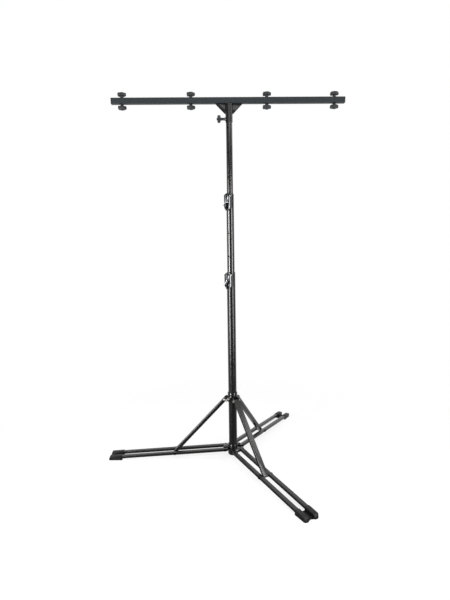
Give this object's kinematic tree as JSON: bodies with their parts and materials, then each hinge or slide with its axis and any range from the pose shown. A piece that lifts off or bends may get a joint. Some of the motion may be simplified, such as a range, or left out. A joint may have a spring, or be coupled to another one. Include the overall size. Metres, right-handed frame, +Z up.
{
  "type": "light stand",
  "caption": "Folding steel lighting stand with a three-stage telescopic mast, twin-rail tripod legs, sliding brace collar and a swivelling T-bar with star knobs.",
  "frame": {"origin": "centre of the bottom plug's underside, on the mast's axis, 20 mm above the floor that the feet stand on", "axes": "+Z up the mast, X along the T-bar, the picture is taken from -Y"},
  "size_m": [1.3094, 1.259, 1.9878],
  "materials": {
    "black_powder_coat": "gloss black powder coat on steel",
    "black_moulded_plastic": "satin",
    "knob_plastic": "satin",
    "foot_rubber": "matt",
    "chromed_steel": "bright",
    "zinc_plated_steel": "bright zinc"
  },
  "bodies": {
    "mast_base": {"lower_tube": "black_powder_coat", "base_hub": "black_powder_coat", "bottom_plug": "black_moulded_plastic", "lower_tube_bush": "black_moulded_plastic", "lower_lock_housing": "black_powder_coat", "lower_lock_axle": "chromed_steel", "hub_bolt_1": "zinc_plated_steel", "hub_bolt_2": "zinc_plated_steel", "hub_bolt_3": "zinc_plated_steel"},
    "collar": {"brace_collar": "black_powder_coat", "strut_bolt_1": "zinc_plated_steel", "strut_bolt_2": "zinc_plated_steel", "strut_bolt_3": "zinc_plated_steel"},
    "collar_clamp": {"collar_clamp_screw": "zinc_plated_steel"},
    "mid": {"mid_tube": "black_powder_coat", "mid_tube_bush": "black_moulded_plastic", "mid_tube_glide": "black_moulded_plastic", "upper_lock_housing": "black_powder_coat", "upper_lock_axle": "chromed_steel"},
    "upper": {"upper_tube": "black_powder_coat", "upper_tube_glide": "black_moulded_plastic"},
    "tbar": {"crossbar": "black_powder_coat", "tbar_sleeve": "black_powder_coat", "bar_end_cap_left": "black_moulded_plastic", "bar_end_cap_right": "black_moulded_plastic"},
    "tbar_knob": {"sleeve_knob": "knob_plastic"},
    "leg_1": {"leg_1_rail_left": "black_powder_coat", "leg_1_rail_right": "black_powder_coat", "foot_1": "foot_rubber", "leg_1_pivot_screw_left": "zinc_plated_steel", "leg_1_pivot_screw_right": "zinc_plated_steel"},
    "strut_1": {"strut_1": "black_powder_coat"},
    "leg_2": {"leg_2_rail_left": "black_powder_coat", "leg_2_rail_right": "black_powder_coat", "foot_2": "foot_rubber", "leg_2_pivot_screw_left": "zinc_plated_steel", "leg_2_pivot_screw_right": "zinc_plated_steel"},
    "strut_2": {"strut_2": "black_powder_coat"},
    "leg_3": {"leg_3_rail_left": "black_powder_coat", "leg_3_rail_right": "black_powder_coat", "foot_3": "foot_rubber", "leg_3_pivot_screw_left": "zinc_plated_steel", "leg_3_pivot_screw_right": "zinc_plated_steel"},
    "strut_3": {"strut_3": "black_powder_coat"},
    "knob_1_upper": {"fixture_knob_1_upper": "knob_plastic"},
    "knob_1_lower": {"fixture_knob_1_lower": "knob_plastic"},
    "knob_2_upper": {"fixture_knob_2_upper": "knob_plastic"},
    "knob_2_lower": {"fixture_knob_2_lower": "knob_plastic"},
    "knob_3_upper": {"fixture_knob_3_upper": "knob_plastic"},
    "knob_3_lower": {"fixture_knob_3_lower": "knob_plastic"},
    "knob_4_upper": {"fixture_knob_4_upper": "knob_plastic"},
    "knob_4_lower": {"fixture_knob_4_lower": "knob_plastic"},
    "lower_lever": {"lower_lock_lever": "chromed_steel"},
    "lower_pin": {"lower_index_pin": "chromed_steel"},
    "lower_toggle": {"lower_pull_toggle": "chromed_steel"},
    "upper_lever": {"upper_lock_lever": "chromed_steel"},
    "upper_pin": {"upper_index_pin": "chromed_steel"},
    "upper_toggle": {"upper_pull_toggle": "chromed_steel"}
  },
  "joints": [
    {"name": "collar_slide", "type": "slide", "parent": "mast_base", "child": "collar", "axis": [0, 0, 1], "range_m": [0, 0.4201]},
    {"name": "collar_clamp_turn", "type": "hinge", "parent": "collar", "child": "collar_clamp", "pos_m": [-0.02519, -0.03849, 0.338], "axis": [-0.5476, -0.8368, 0], "continuous": true},
    {"name": "leg_1_fold", "type": "hinge", "parent": "mast_base", "child": "leg_1", "pos_m": [0.02464, 0.03765, 0.037], "axis": [0.8368, -0.5476, 0], "range_deg": [0, 93.87]},
    {"name": "strut_1_fold", "type": "hinge", "parent": "collar", "child": "strut_1", "pos_m": [0.02354, 0.03598, 0.326], "axis": [-0.8368, 0.5476, 0], "range_deg": [0, 42.81]},
    {"name": "leg_2_fold", "type": "hinge", "parent": "mast_base", "child": "leg_2", "pos_m": [-0.04493, 0.00251, 0.037], "axis": [0.0558, 0.9984, 0], "range_deg": [0, 93.87]},
    {"name": "strut_2_fold", "type": "hinge", "parent": "collar", "child": "strut_2", "pos_m": [-0.04293, 0.0024, 0.326], "axis": [-0.0558, -0.9984, 0], "range_deg": [0, 42.81]},
    {"name": "leg_3_fold", "type": "hinge", "parent": "mast_base", "child": "leg_3", "pos_m": [0.02029, -0.04017, 0.037], "axis": [-0.8926, -0.4509, 0], "range_deg": [0, 93.87]},
    {"name": "strut_3_fold", "type": "hinge", "parent": "collar", "child": "strut_3", "pos_m": [0.01939, -0.03838, 0.326], "axis": [0.8926, 0.4509, 0], "range_deg": [0, 42.81]},
    {"name": "mid_slide", "type": "slide", "parent": "mast_base", "child": "mid", "axis": [0, 0, 1], "range_m": [-0.32, 0.375]},
    {"name": "upper_slide", "type": "slide", "parent": "mid", "child": "upper", "axis": [0, 0, 1], "range_m": [-0.345, 0.36]},
    {"name": "tbar_swivel", "type": "hinge", "parent": "upper", "child": "tbar", "pos_m": [0, 0, 1.923], "axis": [0, 0, 1], "continuous": true},
    {"name": "sleeve_knob_turn", "type": "hinge", "parent": "tbar", "child": "tbar_knob", "pos_m": [-0.04, 0, 1.833], "axis": [-1, 0, 0], "continuous": true},
    {"name": "fixture_knob_1_upper_turn", "type": "hinge", "parent": "tbar", "child": "knob_1_upper", "pos_m": [-0.545, 0, 1.953], "axis": [0, 0, 1], "continuous": true},
    {"name": "fixture_knob_1_lower_turn", "type": "hinge", "parent": "tbar", "child": "knob_1_lower", "pos_m": [-0.545, 0, 1.893], "axis": [0, 0, -1], "continuous": true},
    {"name": "fixture_knob_2_upper_turn", "type": "hinge", "parent": "tbar", "child": "knob_2_upper", "pos_m": [-0.195, 0, 1.953], "axis": [0, 0, 1], "continuous": true},
    {"name": "fixture_knob_2_lower_turn", "type": "hinge", "parent": "tbar", "child": "knob_2_lower", "pos_m": [-0.195, 0, 1.893], "axis": [0, 0, -1], "continuous": true},
    {"name": "fixture_knob_3_upper_turn", "type": "hinge", "parent": "tbar", "child": "knob_3_upper", "pos_m": [0.195, 0, 1.953], "axis": [0, 0, 1], "continuous": true},
    {"name": "fixture_knob_3_lower_turn", "type": "hinge", "parent": "tbar", "child": "knob_3_lower", "pos_m": [0.195, 0, 1.893], "axis": [0, 0, -1], "continuous": true},
    {"name": "fixture_knob_4_upper_turn", "type": "hinge", "parent": "tbar", "child": "knob_4_upper", "pos_m": [0.545, 0, 1.953], "axis": [0, 0, 1], "continuous": true},
    {"name": "fixture_knob_4_lower_turn", "type": "hinge", "parent": "tbar", "child": "knob_4_lower", "pos_m": [0.545, 0, 1.893], "axis": [0, 0, -1], "continuous": true},
    {"name": "lower_lever_tilt", "type": "hinge", "parent": "mast_base", "child": "lower_lever", "pos_m": [-0.01752, -0.02678, 1.028], "axis": [-0.8368, 0.5476, 0], "range_deg": [0, 14], "stiffness_Nm_per_rad": 0.5},
    {"name": "lower_pin_pull", "type": "slide", "parent": "mast_base", "child": "lower_pin", "axis": [-0.5476, -0.8368, 0], "range_m": [0, 0.00923]},
    {"name": "lower_toggle_swing", "type": "hinge", "parent": "lower_pin", "child": "lower_toggle", "pos_m": [-0.02522, -0.03853, 1], "axis": [0.8368, -0.5476, 0], "range_deg": [-75, 20]},
    {"name": "upper_lever_tilt", "type": "hinge", "parent": "mid", "child": "upper_lever", "pos_m": [-0.01588, -0.02427, 1.443], "axis": [-0.8368, 0.5476, 0], "range_deg": [0, 14], "stiffness_Nm_per_rad": 0.5},
    {"name": "upper_pin_pull", "type": "slide", "parent": "mid", "child": "upper_pin", "axis": [-0.5476, -0.8368, 0], "range_m": [0, 0.00923]},
    {"name": "upper_toggle_swing", "type": "hinge", "parent": "upper_pin", "child": "upper_toggle", "pos_m": [-0.02357, -0.03602, 1.415], "axis": [0.8368, -0.5476, 0], "range_deg": [-75, 20]}
  ],
  "couplings": [
    {"joint": "leg_1_fold", "follows": "collar_slide", "rad_per_m": 3.8992},
    {"joint": "strut_1_fold", "follows": "collar_slide", "rad_per_m": 1.778},
    {"joint": "leg_2_fold", "follows": "collar_slide", "rad_per_m": 3.8992},
    {"joint": "strut_2_fold", "follows": "collar_slide", "rad_per_m": 1.778},
    {"joint": "leg_3_fold", "follows": "collar_slide", "rad_per_m": 3.8992},
    {"joint": "strut_3_fold", "follows": "collar_slide", "rad_per_m": 1.778},
    {"joint": "lower_pin_pull", "follows": "lower_lever_tilt", "m_per_rad": 0.0377},
    {"joint": "upper_pin_pull", "follows": "upper_lever_tilt", "m_per_rad": 0.0377}
  ]
}
